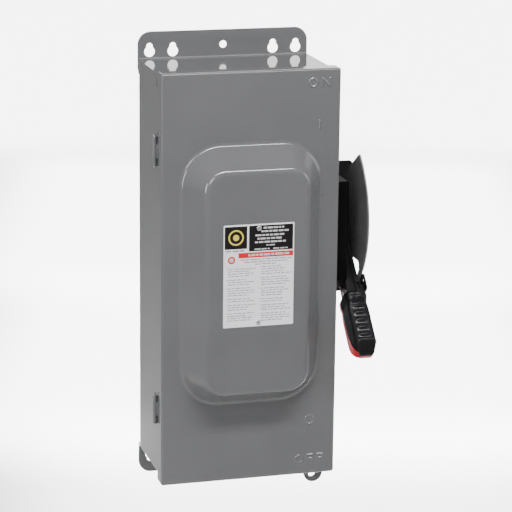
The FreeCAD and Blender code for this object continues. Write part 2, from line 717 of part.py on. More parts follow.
def crank(axis, x0, x1, bore_radius):
    """Flat crank from its axis to its pin place, in its OFF position."""
    pin = polar(axis, CRANK_RADIUS, CRANK_ANGLE)
    side = 7.0
    edge = []
    for centre in (axis, pin):
        for sign in (-1, 1):
            edge.append((polar(centre, sign * side, CRANK_ANGLE + 90.0)))
    web = plate_x([edge[0], edge[1], edge[3], edge[2]], x0, x1)
    body = join([web, rod_x(side, pin, x0, x1), rod_x(13.0, axis, x0, x1)])
    return body.cut(rod_x(bore_radius, axis, x0 - 1, x1 + 1)), pin


def drive_crank():
    body, pin = crank(SHAFT_AXIS, CRANK_X[0], CRANK_X[1], SHAFT_RADIUS + 0.02)
    return join([body, rod_x(LINK_PIN, pin, LINK_X[0] - 0.3, CRANK_X[0])])


def rotor_crank():
    body, pin = crank(ROTOR_AXIS, ROTOR_CRANK_X[0], ROTOR_CRANK_X[1], JOURNAL_RADIUS + 0.02)
    return join([body, rod_x(LINK_LOOSE_PIN, pin, ROTOR_CRANK_X[1], LINK_X[1] + 0.2)])


def drive_link():
    """Straight link between the two crank pins."""
    low = polar(SHAFT_AXIS, CRANK_RADIUS, CRANK_ANGLE)
    high = polar(ROTOR_AXIS, CRANK_RADIUS, CRANK_ANGLE)
    x0, x1 = LINK_X
    lean = math.degrees(math.atan2(high[1] - low[1], low[0] - high[0]))
    edge = [polar(low, -5.0, lean + 90), polar(low, 5.0, lean + 90),
            polar(high, 5.0, lean + 90), polar(high, -5.0, lean + 90)]
    body = join([plate_x(edge, x0, x1), rod_x(7.0, low, x0, x1), rod_x(7.0, high, x0, x1)])
    return body.cut([rod_x(LINK_EYE, low, x0 - 1, x1 + 1), rod_x(LINK_EYE, high, x0 - 1, x1 + 1)])


def interlock_hook():
    """Arm on the shaft whose finger stands before the cover catch while the switch is ON."""
    x0, x1 = HOOK_X
    off_angle = HOOK_ON_ANGLE - THROW
    tip = polar(SHAFT_AXIS, HOOK_REACH, off_angle)
    edge = [polar(SHAFT_AXIS, -6.0, off_angle + 90), polar(SHAFT_AXIS, 6.0, off_angle + 90),
            polar(tip, 4.0, off_angle + 90), polar(tip, -4.0, off_angle + 90)]
    arm = plate_x(edge, x0, x1)
    finger = rod_x(2.2, tip, x0, x1 + 5.0)
    body = join([arm, shaft_disc(13.0, x0, x1), rod_x(4.0, tip, x0, x1), finger])
    return body.cut(shaft_disc(SHAFT_RADIUS + 0.02, x0 - 1, x1 + 1))


def shaft_spring():
    """Coil round the shaft between the interlock hook and the mechanism plate."""
    coil = Part.makeHelix(2.1, 3.6, 11.5)
    wire = Part.Wire(Part.makeCircle(0.9, vec(11.5, 0, 0), vec(0, 1, 0)))
    body = Part.Wire(coil.Edges).makePipeShell([wire], True, True)
    body.rotate(vec(0, 0, 0), vec(0, 1, 0), 90)
    body.translate(vec(HOOK_X[1] + 1.3, SHAFT_AXIS[0], SHAFT_AXIS[1]))
    return body


def lock_slide():
    """Padlock slide on the front of the arm, with a leaf that reaches past the guard."""
    face = ARM_FRONT + 0.3
    leaf_x = (GUARD_X[1] + 0.3, GUARD_X[1] + 2.5)
    guide = handle_plate([(97, face), (118, face), (118, face + 2.5), (97, face + 2.5)], 133.4, 140.4)
    step = handle_plate([(108.5, face), (118, face), (118, face + 2.5), (108.5, face + 2.5)],
                        140.4, leaf_x[1])
    leaf = handle_plate([(96, -8), (118, -8), (118, 11), (115, 14.8), (99, 14.8), (96, 11)], *leaf_x)
    body = join([guide, step, leaf])
    slot = handle_plate([(LOCK_PIN - 1.7, 0), (LOCK_PIN + LOCK_TRAVEL + 1.7, 0),
                         (LOCK_PIN + LOCK_TRAVEL + 1.7, 20), (LOCK_PIN - 1.7, 20)],
                        LOCK_PIN_X - 1.7, LOCK_PIN_X + 1.7)
    hole = rod_x(3.4, on_handle(103.5, 9.0), leaf_x[0] - 2, leaf_x[1] + 2)
    return body.cut([slot, hole])


def lock_slide_pin():
    root, neck, top = [vec(LOCK_PIN_X, *on_handle(LOCK_PIN, ARM_FRONT + rise)) for rise in (0.0, 3.1, 4.3)]
    return join([rod(1.5, root, neck), rod(2.7, neck, top)])


# ---------------------------------------------------------------- rotor
def rotor_crossbar():
    y, z = ROTOR_AXIS
    h = CROSSBAR_HALF
    bar = block(BEARING_X[0][1] + 0.3, BEARING_X[1][0] - 0.3, y - h, y + h, z - h, z + h)
    bar = round_edges(bar, 1.5, lambda e: runs_along(e, RIGHT))
    journals = rod_x(JOURNAL_RADIUS, ROTOR_AXIS, BEARING_X[0][0] - 1, ROTOR_CRANK_X[1])
    return join([bar, journals])


def switch_blades():
    """One knife blade per pole, pointing forward at OFF."""
    blades = []
    for pole in POLES:
        corners = []
        for reach in (CROSSBAR_HALF + 0.15, BLADE_REACH):
            middle = polar(ROTOR_AXIS, reach, BLADE_OFF_ANGLE)
            for side in (-0.5, 0.5):
                corners.append(polar(middle, side * BLADE_WIDTH, BLADE_OFF_ANGLE + 90))
        outline = [corners[0], corners[1], corners[3], corners[2]]
        blade = plate_x(outline, pole - BLADE_THICKNESS / 2, pole + BLADE_THICKNESS / 2)
        square = block(pole - 5, pole + 5, ROTOR_AXIS[0] - CROSSBAR_HALF, ROTOR_AXIS[0] + CROSSBAR_HALF,
                       ROTOR_AXIS[1] - CROSSBAR_HALF, ROTOR_AXIS[1] + CROSSBAR_HALF)
        blades.append(blade.cut(square))
    return group(blades)


def rotor_bearings():
    brackets = []
    y, z = ROTOR_AXIS
    for x0, x1 in BEARING_X:
        plate = block(x0, x1, y - 13, PAN_Y[0], z - 13, z + 13)
        brackets.append(plate.cut(rod_x(JOURNAL_RADIUS + RUNNING_FIT, ROTOR_AXIS, x0 - 1, x1 + 1)))
    return group(brackets)


# ---------------------------------------------------------------- electrical parts
def pan_spacers():
    spacers = []
    for x, z in pan_screw_places():
        spacers.append(rod_y(6.0, x, z, PAN_Y[1], -SHEET).cut(rod_y(2.1, x, z, -20, 1)))
    return group(spacers)


def pan_screws():
    length = -PAN_Y[0] - 0.2
    return group([screw(4.0, 2.4, 2.0, vec(x, PAN_Y[0], z), FRONT.negative(), length)
                  for x, z in pan_screw_places()])


def mounting_pan():
    x0, x1 = BASE_SPAN
    pan = block(x0 - 9, x1 + 8, PAN_Y[0], PAN_Y[1], -158, 200)
    return pan.cut([rod_y(2.1, x, z, -20, 1) for x, z in pan_screw_places()])


def insulator(z0, z1, front):
    """Moulded base across the three poles, ribbed between them."""
    x0, x1 = BASE_SPAN
    body = block(x0, x1, front, PAN_Y[0], z0, z1)
    ribs = [block(x - 1.5, x + 1.5, front - 9, front, z0, z1)
            for x in [(a + b) / 2 for a, b in zip(POLES, POLES[1:])]]
    return join([body] + ribs)


def line_base():
    return insulator(LINE_Z[0], LINE_Z[1], LINE_FRONT)


def fuse_base():
    return insulator(FUSE_BASE_Z[0], FUSE_BASE_Z[1], CLIP_SEAT)


def load_base():
    return insulator(LOAD_BASE_Z[0], LOAD_BASE_Z[1], CLIP_SEAT)


def lug(x, y_seat, z0, z1):
    """Aluminium wire lug with its wire hole up the middle and a screw hole in front."""
    body = block(x - 10, x + 10, y_seat - LUG_DEPTH, y_seat, z0, z1)
    wire = rod_z(LUG_WIRE_RADIUS, x, y_seat - LUG_DEPTH / 2, z0 - 1, z1 + 1)
    thread = rod_y(LUG_SCREW_RADIUS + 0.05, x, (z0 + z1) / 2, y_seat - LUG_DEPTH - 1, y_seat - LUG_DEPTH / 2)
    return body.cut([wire, thread])


def lug_screw(x, y_seat, z0, z1):
    z = (z0 + z1) / 2
    front = y_seat - LUG_DEPTH
    body = rod_y(LUG_SCREW_RADIUS, x, z, front - 2.5, front + 3.2)
    slot = block(x - 0.7, x + 0.7, front - 3, front - 1.2, z - 6, z + 6)
    return body.cut(slot)


def line_lugs():
    return group([lug(x, LINE_FRONT, *LINE_LUG_Z) for x in POLES])


def line_lug_screws():
    return group([lug_screw(x, LINE_FRONT, *LINE_LUG_Z) for x in POLES])


def load_lugs():
    return group([lug(x, CLIP_SEAT - CLIP_SHEET, *LOAD_LUG_Z) for x in POLES])


def load_lug_screws():
    return group([lug_screw(x, CLIP_SEAT - CLIP_SHEET, *LOAD_LUG_Z) for x in POLES])


def leaf_pair(x, make_leaf):
    """Two contact leaves, one each side of the blade plane at x."""
    inner = JAW_GAP / 2
    return [make_leaf(x + side * inner, x + side * (inner + JAW_LEAF)) for side in (-1, 1)]


def line_jaws():
    """Jaws that the blades enter from the front when the switch is ON."""
    jaws = []
    for pole in POLES:
        leaves = leaf_pair(pole, lambda a, b: block(a, b, LINE_FRONT - 26, LINE_FRONT - 2, *JAW_Z))
        foot = block(pole - 8, pole + 8, LINE_FRONT - 2, LINE_FRONT, JAW_Z[0] - 2, JAW_Z[1] + 6)
        jaws.append(join(leaves + [foot]))
    return group(jaws)


def ring_leaf(a, b):
    """Flat ring about the rotor axis, on a stem."""
    y, z = ROTOR_AXIS
    ring = rod_x(22.0, ROTOR_AXIS, min(a, b), max(a, b))
    stem = block(a, b, y - 6, y + 6, FUSE_BASE_Z[1] + 1.5, z - 15)
    return join([ring, stem]).cut(rod_x(11.5, ROTOR_AXIS, min(a, b) - 1, max(a, b) + 1))


def hinge_jaws():
    """Ring-shaped leaves that stay in contact with the blades at the rotor."""
    y = ROTOR_AXIS[0]
    jaws = []
    for pole in POLES:
        foot = block(pole - 8, pole + 8, y - 7, -14, FUSE_BASE_Z[1], FUSE_BASE_Z[1] + 2.5)
        jaws.append(join(leaf_pair(pole, ring_leaf) + [foot]))
    return group(jaws)


def arc_chutes():
    """Insulating hoods round the line jaws, open at the front and bottom."""
    hoods = []
    for pole in POLES:
        roof_z = HOOD_Z[1] - HOOD_WALL
        inner = HOOD_HALF - HOOD_WALL
        z0, z1 = HOOD_Z
        walls = [block(pole + side * inner, pole + side * HOOD_HALF, HOOD_FRONT, LINE_FRONT, z0, roof_z)
                 for side in (-1, 1)]
        roof = block(pole - HOOD_HALF, pole + HOOD_HALF, HOOD_FRONT, LINE_FRONT, roof_z, z1)
        hoods.append(join(walls + [roof]))
    return group(hoods)


def arc_plates():
    """Steel arc-splitter plates on the side walls of each hood."""
    plates = []
    inner = HOOD_HALF - HOOD_WALL
    for pole in POLES:
        for y in (-76.0, -70.0, -64.0, -58.0):
            for side in (-1, 1):
                plates.append(block(pole + side * (inner - 5), pole + side * inner, y, y + 1.2,
                                    HOOD_Z[0] + 3, HOOD_Z[1] - 3))
    return group(plates)


def fuse_clip(x, z0, z1, seat_z0, seat_z1):
    """Sprung U-shaped clip with flared mouth, on a strap along the insulator."""
    r = FUSE_RADIUS + 0.1
    t = CLIP_SHEET
    back = CLIP_SEAT - t
    mouth = FUSE_Y - 6
    profile = [(x - r - t, CLIP_SEAT), (x - r - t, mouth), (x - r - t - 3, mouth - 6), (x - r - 3, mouth - 6),
               (x - r, mouth), (x - r, back), (x + r, back), (x + r, mouth), (x + r + 3, mouth - 6),
               (x + r + t + 3, mouth - 6), (x + r + t, mouth), (x + r + t, CLIP_SEAT)]
    strap = block(x - 9, x + 9, back, CLIP_SEAT, seat_z0, seat_z1)
    return join([plate_z(profile, z0, z1), strap])


def upper_fuse_clips():
    z1 = FUSE_Z[1]
    return group([fuse_clip(x, z1 - FERRULE + 1, z1 - 1, z1 - FERRULE, z1 + 0.5) for x in POLES])


def lower_fuse_clips():
    z0 = FUSE_Z[0]
    return group([fuse_clip(x, z0 + 1, z0 + FERRULE - 1, LOAD_LUG_Z[0], z0 + FERRULE) for x in POLES])


def fuse_tubes():
    z0, z1 = FUSE_Z
    return group([rod_z(FUSE_RADIUS - 0.5, x, FUSE_Y, z0 + FERRULE, z1 - FERRULE) for x in POLES])


def fuse_ferrules():
    z0, z1 = FUSE_Z
    caps = []
    for x in POLES:
        for a, b, outer in ((z0, z0 + FERRULE, z0), (z1 - FERRULE, z1, z1)):
            cap = rod_z(FUSE_RADIUS, x, FUSE_Y, a, b)
            caps.append(round_edges(cap, 1.0, lambda e: abs(e.BoundBox.ZMin - outer) < 0.01
                                    and abs(e.BoundBox.ZMax - outer) < 0.01))
    return group(caps)


def ground_lug():
    x, y, z = GROUND_LUG
    body = block(x - 9, x + 9, y - 6, -SHEET, z - 10, z + 10)
    wire = rod_z(4.0, x, y, z - 11, z + 11)
    return body.cut([wire, rod_y(3.55, x, z, y - 7, y)])


def ground_screw():
    x, y, z = GROUND_LUG
    return rod_y(3.5, x, z, y - 8.5, y - 4.5).cut(block(x - 0.6, x + 0.6, y - 9, y - 7.3, z - 4, z + 4))


NODES = {
    "box_wrapper": box_wrapper, "top_end_cap": top_end_cap, "bottom_end_cap": bottom_end_cap,
    "top_wall_flange": top_wall_flange, "bottom_wall_flange": bottom_wall_flange,
    "bottom_knockouts": bottom_knockouts, "box_hinge_leaves": box_hinge_leaves, "hinge_pins": hinge_pins,
    "latch_bracket": latch_bracket, "latch_pin": latch_pin, "latch_spring": latch_spring,
    "handle_base": handle_base, "base_screws": base_screws, "mechanism_plate": mechanism_plate,
    "guard_bracket": guard_bracket, "guard_plate": guard_plate, "guard_rivets": guard_rivets,
    "shaft_spring": shaft_spring, "mounting_pan": mounting_pan, "pan_spacers": pan_spacers,
    "pan_screws": pan_screws, "line_base": line_base, "line_jaws": line_jaws, "arc_chutes": arc_chutes,
    "arc_plates": arc_plates, "line_lugs": line_lugs, "line_lug_screws": line_lug_screws,
    "rotor_bearings": rotor_bearings, "hinge_jaws": hinge_jaws, "fuse_base": fuse_base,
    "upper_fuse_clips": upper_fuse_clips, "lower_fuse_clips": lower_fuse_clips, "load_base": load_base,
    "load_lugs": load_lugs, "load_lug_screws": load_lug_screws, "fuse_tubes": fuse_tubes,
    "fuse_ferrules": fuse_ferrules, "ground_lug": ground_lug, "ground_screw": ground_screw,
    "cover_pan": cover_pan, "cover_hinge_leaves": cover_hinge_leaves, "label_plate": label_plate,
    "cover_catch": cover_catch, "cover_latch": cover_latch,
    "handle_shaft": handle_shaft, "handle_arm": handle_arm, "grip_front": grip_front, "grip_back": grip_back,
    "grip_screws": grip_screws, "drive_crank": drive_crank, "interlock_hook": interlock_hook,
    "lock_slide_pin": lock_slide_pin, "lock_slide": lock_slide,
    "rotor_crossbar": rotor_crossbar, "switch_blades": switch_blades, "rotor_crank": rotor_crank,
    "drive_link": drive_link,
}

os.makedirs("parts", exist_ok=True)
for name, build in NODES.items():
    build().exportStep("parts/" + name + ".step")
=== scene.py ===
import bpy
import bmesh
import json
import math
import random

import numpy as np
from mathutils import Matrix, Vector


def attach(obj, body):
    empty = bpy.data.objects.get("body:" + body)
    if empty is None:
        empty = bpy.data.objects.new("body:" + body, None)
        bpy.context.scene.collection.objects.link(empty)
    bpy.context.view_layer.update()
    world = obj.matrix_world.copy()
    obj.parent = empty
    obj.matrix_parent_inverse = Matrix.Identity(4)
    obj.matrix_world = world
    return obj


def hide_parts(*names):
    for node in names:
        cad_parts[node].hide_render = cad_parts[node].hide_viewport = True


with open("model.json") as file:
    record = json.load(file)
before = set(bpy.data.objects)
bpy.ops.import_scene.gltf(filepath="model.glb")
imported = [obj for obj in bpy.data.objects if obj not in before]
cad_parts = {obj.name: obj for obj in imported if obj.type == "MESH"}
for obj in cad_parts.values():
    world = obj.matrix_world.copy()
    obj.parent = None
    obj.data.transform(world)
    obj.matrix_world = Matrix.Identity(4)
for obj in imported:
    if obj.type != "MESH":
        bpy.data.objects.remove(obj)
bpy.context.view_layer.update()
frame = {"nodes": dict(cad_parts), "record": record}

MM = 0.001                                      # the model's sizes are in mm, the studio's in metres

# ---------------------------------------------------------------- camera, light and floor
CAMERA_PLACE = (-0.6763, -2.5265, 0.6730)
CAMERA_YAW = math.radians(15.896)
CAMERA_PITCH = math.radians(14.514)
CAMERA_ROLL = math.radians(0.616)
CAMERA_LENS = 158.36
SENSOR_WIDTH = 36.0
FLOOR_Z = -0.62
FLOOR_REACH = 14.0
WORLD_STRENGTH = 0.32
SOFT_LIGHTS = (                                 # name, place, target, size, power, spread in degrees
    ("key", (-1.5, -2.3, 1.2), (0, 0, 0.05), (1.1, 1.1), 3.0, 60.0),
    ("left", (-2.3, -1.0, 0.3), (0, -0.05, 0), (0.7, 1.4), 3.4, 60.0),
    ("right", (2.5, -0.9, 0.7), (0, -0.05, 0), (0.9, 1.4), 1.6, 60.0),
    ("overhead", (0.05, -1.32, 1.84), (0, -0.13, 0.08), (2.6, 0.30), 12.0, 60.0),
    ("rear", (0.95, 3.2, 1.10), (0, 0, 0.2), (1.8, 1.0), 5.0, 120.0),
)
BACKDROP_LIGHTS = (                             # name, place, size, power, spread in degrees
    ("backdrop_front", (0.30, 0.60, 0.35), (0.95, 1.0), 15.0, 30.0),
    ("backdrop_near", (0.50, 1.50, 0.35), (1.2, 1.12), 33.0, 30.0),
    ("backdrop_middle", (0.82, 2.62, 0.35), (1.45, 1.3), 46.0, 30.0),
    ("backdrop_far", (1.98, 6.32, 0.20), (3.3, 6.4), 465.0, 45.0),
)


def add_camera():
    data = bpy.data.cameras.new("camera")
    data.sensor_width = SENSOR_WIDTH
    data.lens = CAMERA_LENS
    camera = bpy.data.objects.new("camera", data)
    turn = Matrix.Rotation(-CAMERA_YAW, 4, "Z") @ Matrix.Rotation(math.pi / 2 - CAMERA_PITCH, 4, "X")
    turn = turn @ Matrix.Rotation(CAMERA_ROLL, 4, "Z")
    camera.matrix_world = Matrix.Translation(CAMERA_PLACE) @ turn
    bpy.context.collection.objects.link(camera)
    bpy.context.scene.camera = camera


def add_area_light(name, place, target, size, power, spread):
    data = bpy.data.lights.new(name, "AREA")
    data.shape = "RECTANGLE"
    data.size, data.size_y = size
    data.energy = power
    data.spread = math.radians(spread)
    light = bpy.data.objects.new(name, data)
    light.location = place
    light.rotation_euler = (Vector(target) - Vector(place)).to_track_quat("-Z", "Y").to_euler()
    bpy.context.collection.objects.link(light)
    return light


def add_studio():
    world = bpy.data.worlds.new("studio")
    world.use_nodes = True
    background = world.node_tree.nodes["Background"]
    background.inputs["Color"].default_value = (1.0, 1.0, 1.0, 1.0)
    background.inputs["Strength"].default_value = WORLD_STRENGTH
    bpy.context.scene.world = world
    for light in SOFT_LIGHTS:
        add_area_light(*light)
    for name, place, size, power, spread in BACKDROP_LIGHTS:
        light = add_area_light(name, place, (place[0], place[1], FLOOR_Z), size, power, spread)
        light.rotation_euler = (0.0, 0.0, -CAMERA_YAW)
    mesh = bpy.data.meshes.new("floor")
    corners = ((-1, -1), (1, -1), (1, 1), (-1, 1))
    mesh.from_pydata([(x * FLOOR_REACH, y * FLOOR_REACH, FLOOR_Z) for x, y in corners], [], [(0, 1, 2, 3)])
    floor = bpy.data.objects.new("floor", mesh)
    bpy.context.collection.objects.link(floor)
    mesh.materials.append(plain_floor())


# ---------------------------------------------------------------- materials
def new_material(name):
    material = bpy.data.materials.new(name)
    material.use_nodes = True
    tree = material.node_tree
    return material, tree, tree.nodes["Principled BSDF"]


def object_noise(tree, scale, detail=2.0, stretch=(1, 1, 1)):
    """Noise in the object's own metres."""
    where = tree.nodes.new("ShaderNodeTexCoord")
    mapping = tree.nodes.new("ShaderNodeMapping")
    mapping.inputs["Scale"].default_value = stretch
    noise = tree.nodes.new("ShaderNodeTexNoise")
    noise.inputs["Scale"].default_value = scale
    noise.inputs["Detail"].default_value = detail
    tree.links.new(where.outputs["Object"], mapping.inputs["Vector"])
    tree.links.new(mapping.outputs["Vector"], noise.inputs["Vector"])
    return noise


def ramp_between(tree, source, low, high):
    """Colour ramp from low to high over the middle of a noise's range."""
    ramp = tree.nodes.new("ShaderNodeValToRGB")
    ramp.color_ramp.elements[0].position = 0.35
    ramp.color_ramp.elements[1].position = 0.65
    ramp.color_ramp.elements[0].color = (*low, 1.0)
    ramp.color_ramp.elements[1].color = (*high, 1.0)
    tree.links.new(source.outputs["Fac"], ramp.inputs["Fac"])
    return ramp


def spread_value(tree, source, low, high):
    """Noise mapped to a range of values."""
    spread = tree.nodes.new("ShaderNodeMapRange")
    spread.inputs["To Min"].default_value = low
    spread.inputs["To Max"].default_value = high
    tree.links.new(source.outputs["Fac"], spread.inputs["Value"])
    return spread


def add_bump(tree, shader, source, strength, distance, normal_from=None):
    """Bump on the shader, on top of an earlier bump when one is given."""
    bump = tree.nodes.new("ShaderNodeBump")
    bump.inputs["Strength"].default_value = strength
    bump.inputs["Distance"].default_value = distance
    tree.links.new(source.outputs["Fac"], bump.inputs["Height"])
    if normal_from:
        tree.links.new(normal_from.outputs["Normal"], bump.inputs["Normal"])
    tree.links.new(bump.outputs["Normal"], shader.inputs["Normal"])
    return bump


ROUGHNESS_SPREAD = 0.12


def surface(name, colour, roughness, metallic=0.0, variation=0.06, grain=600.0, bump=0.05,
            bump_depth=0.0002, stretch=(1, 1, 1), specular=0.5):
    """A finish with mottled colour, uneven gloss and a fine surface texture."""
    material, tree, shader = new_material(name)
    mottling = object_noise(tree, 38.0, 3.0)
    low = [max(0.0, c * (1 - variation)) for c in colour]
    high = [min(1.0, c * (1 + variation)) for c in colour]
    ramp = ramp_between(tree, mottling, low, high)
    tree.links.new(ramp.outputs["Color"], shader.inputs["Base Color"])
    gloss = spread_value(tree, mottling, roughness * (1 - ROUGHNESS_SPREAD),
                         roughness * (1 + ROUGHNESS_SPREAD))
    tree.links.new(gloss.outputs["Result"], shader.inputs["Roughness"])
    if bump:
        fine = object_noise(tree, grain, 2.0, stretch)
        add_bump(tree, shader, fine, bump, bump_depth)
    shader.inputs["Metallic"].default_value = metallic
    shader.inputs["Specular IOR Level"].default_value = specular
    return material


def plain_floor():
    return surface("floor_paper", (0.93, 0.93, 0.93), 0.9, variation=0.004, bump=0.0)


def grey_enamel():
    """Baked grey enamel: a little orange peel, faint cloudiness, and dulled high spots."""
    material, tree, shader = new_material("grey_enamel")
    cloud = object_noise(tree, 9.0, 3.0)
    ramp = ramp_between(tree, cloud, (0.124, 0.125, 0.129), (0.136, 0.137, 0.141))
    tree.links.new(ramp.outputs["Color"], shader.inputs["Base Color"])
    scuffs = object_noise(tree, 140.0, 5.0)
    gloss = spread_value(tree, scuffs, 0.07, 0.12)
    tree.links.new(gloss.outputs["Result"], shader.inputs["Roughness"])
    speck = object_noise(tree, 2400.0, 1.0)
    first = add_bump(tree, shader, speck, 0.02, 0.00005)
    peel = object_noise(tree, 260.0, 1.5)
    add_bump(tree, shader, peel, 0.035, 0.0004, first)
    shader.inputs["Coat Weight"].default_value = 0.45
    shader.inputs["Coat Roughness"].default_value = 0.05
    return material


MATERIALS = {
    "enclosure_paint": grey_enamel(),
    "zinc_steel": surface("zinc_steel", (0.60, 0.60, 0.57), 0.34, 1.0, 0.08, 900.0, 0.08),
    "dark_steel": surface("dark_steel", (0.011, 0.011, 0.012), 0.22, 0.0, 0.2, 700.0, 0.05, specular=0.10),
    "guard_steel": surface("guard_steel", (0.165, 0.165, 0.167), 0.42, 0.0, 0.1, 700.0, 0.06, specular=0.18),
    "black_moulding": surface("black_moulding", (0.004, 0.004, 0.004), 0.50, 0.0, 0.2, 1100.0, 0.18,
                              specular=0.04),
    "grip_black": surface("grip_black", (0.009, 0.009, 0.010), 0.24, 0.0, 0.2, 1500.0, 0.05, specular=0.3),
    # grip_side_painted_shade: a darker, matte copy of grip_black for the grip's side faces, painted shade
    # with the side's reflection taken out
    "grip_side_painted_shade": surface("grip_side_painted_shade", (0.005, 0.005, 0.005), 0.6, 0.0, 0.2, 1500.0, 0.05, specular=0.04),
    "grip_red": surface("grip_red", (0.52, 0.006, 0.014), 0.38, 0.0, 0.08, 1500.0, 0.10, specular=0.15),
    "insulator": surface("insulator", (0.035, 0.031, 0.029), 0.5, 0.0, 0.15, 800.0, 0.2),
    "copper": surface("copper", (0.80, 0.42, 0.26), 0.3, 1.0, 0.12, 500.0, 0.06, stretch=(1, 1, 0.1)),
    "brass": surface("brass", (0.78, 0.60, 0.30), 0.28, 1.0, 0.08, 500.0, 0.05),
    "aluminium": surface("aluminium", (0.74, 0.75, 0.76), 0.32, 1.0, 0.06, 700.0, 0.08, stretch=(1, 1, 0.1)),
    "fuse_tube": surface("fuse_tube", (0.46, 0.36, 0.22), 0.62, 0.0, 0.1, 900.0, 0.25),
    "label": surface("label", (0.93, 0.93, 0.97), 0.3, 0.0, 0.02, 1500.0, 0.03),
    "arc_fibre": surface("arc_fibre", (0.42, 0.20, 0.12), 0.68, 0.0, 0.12, 900.0, 0.25),
}


# ---------------------------------------------------------------- mesh helpers
def new_object(name, mesh, material, body):
    piece = bpy.data.objects.new(name, mesh)
    bpy.context.collection.objects.link(piece)
    if not mesh.materials:
        mesh.materials.append(material)
    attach(piece, body)
    return piece


def smooth_by_angle(mesh, degrees=32.0):
    bm = bmesh.new()
    bm.from_mesh(mesh)
    limit = math.radians(degrees)
    for face in bm.faces:
        face.smooth = True
    for edge in bm.edges:
        edge.smooth = len(edge.link_faces) == 2 and edge.calc_face_angle(0.0) < limit
    bm.to_mesh(mesh)
    bm.free()


def apply_modifiers(piece):
    bpy.context.view_layer.update()
    graph = bpy.context.evaluated_depsgraph_get()
    finished = bpy.data.meshes.new_from_object(piece.evaluated_get(graph))
    piece.modifiers.clear()
    piece.data = finished


NODE_BODY = {node: body for body, nodes in frame["record"]["behaviour"]["bodies"].items() for node in nodes}
NODE_SLOT = {part["node"]: part["material_slot"] for part in frame["record"]["subparts"]}


def refined(node, width, material=None):
    """A CAD node with its sharp edges rounded, as sheet metal and mouldings have."""
    mesh = frame["nodes"][node].data.copy()
    bm = bmesh.new()
    bm.from_mesh(mesh)
    bmesh.ops.remove_doubles(bm, verts=bm.verts, dist=2e-6)
    bmesh.ops.dissolve_limit(bm, angle_limit=math.radians(0.6), verts=bm.verts, edges=bm.edges)
    bm.to_mesh(mesh)
    bm.free()
    if mesh.has_custom_normals:
        mesh.attributes.remove(mesh.attributes["custom_normal"])
    mesh.materials.clear()
    mesh.materials.append(material or MATERIALS[NODE_SLOT[node]])
    smooth_by_angle(mesh)
    piece = new_object(node + "_finished", mesh, None, NODE_BODY[node])
    bevel = piece.modifiers.new("edges", "BEVEL")
    bevel.width = width * MM
    bevel.segments = 3
    bevel.limit_method = "ANGLE"
    bevel.angle_limit = math.radians(35.0)
    bevel.use_clamp_overlap = True
    bevel.miter_outer = "MITER_SHARP"
    weighted = piece.modifiers.new("normals", "WEIGHTED_NORMAL")
    weighted.keep_sharp = True
    apply_modifiers(piece)
    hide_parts(node)


def steps(*spans):
    """Rising positions from (start, stop, step) spans that follow each other."""
    places = []
    for start, stop, step in spans:
        count = max(1, round((stop - start) / step))
        places += [start + (stop - start) * i / count for i in range(count)]
    return places + [spans[-1][1]]


def lerp_points(points, t):
    """Value at t on a line through (t, value) points."""
    for (t0, v0), (t1, v1) in zip(points, points[1:]):
        if t <= t1:
            return v0 + (v1 - v0) * max(0.0, (t - t0) / (t1 - t0))
    return points[-1][1]


def smooth_step(t):
    t = min(1.0, max(0.0, t))
    return t * t * (3 - 2 * t)


# ---------------------------------------------------------------- cover
COVER_HALF = (104.75, 241.7)
COVER_FRONT = -129.2
COVER_REAR = -109.5
COVER_BEND = 2.5
SHEET = 1.5
BULGE_FOOT = (81.7, -145.5, 157.8, 46.0)        # half width, bottom, top, corner radius
BULGE_TOP = (60.2, -125.8, 134.4, 23.0)
BULGE_RISE = 32.8
BULGE_RUN = 21.5
FOOT_RADIUS = 6.5
TOP_RADIUS = 9.0
HINGE_NOTCHES = ((131.7, 168.7), (-173.9, -136.9))
NOTCH_FRONT = -113.0
STROKE_HALF = 0.9
STROKE_EDGE = 1.1
STROKE_RISE = 0.8
DIMPLE = (88.2, 94.7, 0.5)                      # x, z, depth of the small dent beside the panel
PADLOCK_EYE = (84.8, -247.6, 11.4, -249.6, 5.4)  # x, z, radius, hole z, hole radius


def outline_distance(x, z, share):
    """Signed distance to the raised panel's outline at a share of its wall, negative inside."""
    half, low, high, corner = [a + (b - a) * share for a, b in zip(BULGE_FOOT, BULGE_TOP)]
    dx = np.abs(x) - (half - corner)
    dz = np.abs(z - (low + high) / 2) - ((high - low) / 2 - corner)
    outside = np.hypot(np.maximum(dx, 0), np.maximum(dz, 0))
    return outside + np.minimum(np.maximum(dx, dz), 0) - corner


def wall_profile(along):
    """Height of the drawn wall: flat, foot fillet, slope, top fillet, flat."""
    slope = math.atan2(BULGE_RISE, BULGE_RUN)
    foot = FOOT_RADIUS * math.tan(slope / 2)
    top = TOP_RADIUS * math.tan(slope / 2)
    height = np.clip(along, 0, BULGE_RUN) * math.tan(slope)
    in_foot = (along > -foot) & (along < foot * math.cos(slope))
    arc = FOOT_RADIUS - np.sqrt(np.maximum(FOOT_RADIUS ** 2 - (along + foot) ** 2, 0))
    height = np.where(in_foot, arc, height)
    in_top = (along > BULGE_RUN - top * math.cos(slope)) & (along < BULGE_RUN + top)
    arc = BULGE_RISE - TOP_RADIUS + np.sqrt(np.maximum(TOP_RADIUS ** 2 - (BULGE_RUN + top - along) ** 2, 0))
    return np.where(in_top, arc, height)


SHARE_RANGE = (-0.6, 1.8)                       # of the drawn wall, from its foot to its top
SHARE_HALVINGS = 22


def bulge_height(x, z):
    """Height of the raised panel; the share of the wall at each place is found by halving."""
    low = np.full_like(x, SHARE_RANGE[0])
    high = np.full_like(x, SHARE_RANGE[1])
    for _ in range(SHARE_HALVINGS):
        middle = (low + high) / 2
        inside = outline_distance(x, z, middle) < 0
        low = np.where(inside, middle, low)
        high = np.where(inside, high, middle)
    return wall_profile(low * BULGE_RUN)


def oval(x, z, half_x, half_z):
    turn = [2 * math.pi * i / 28 for i in range(29)]
    return [(x + half_x * math.cos(a), z + half_z * math.sin(a)) for a in turn]


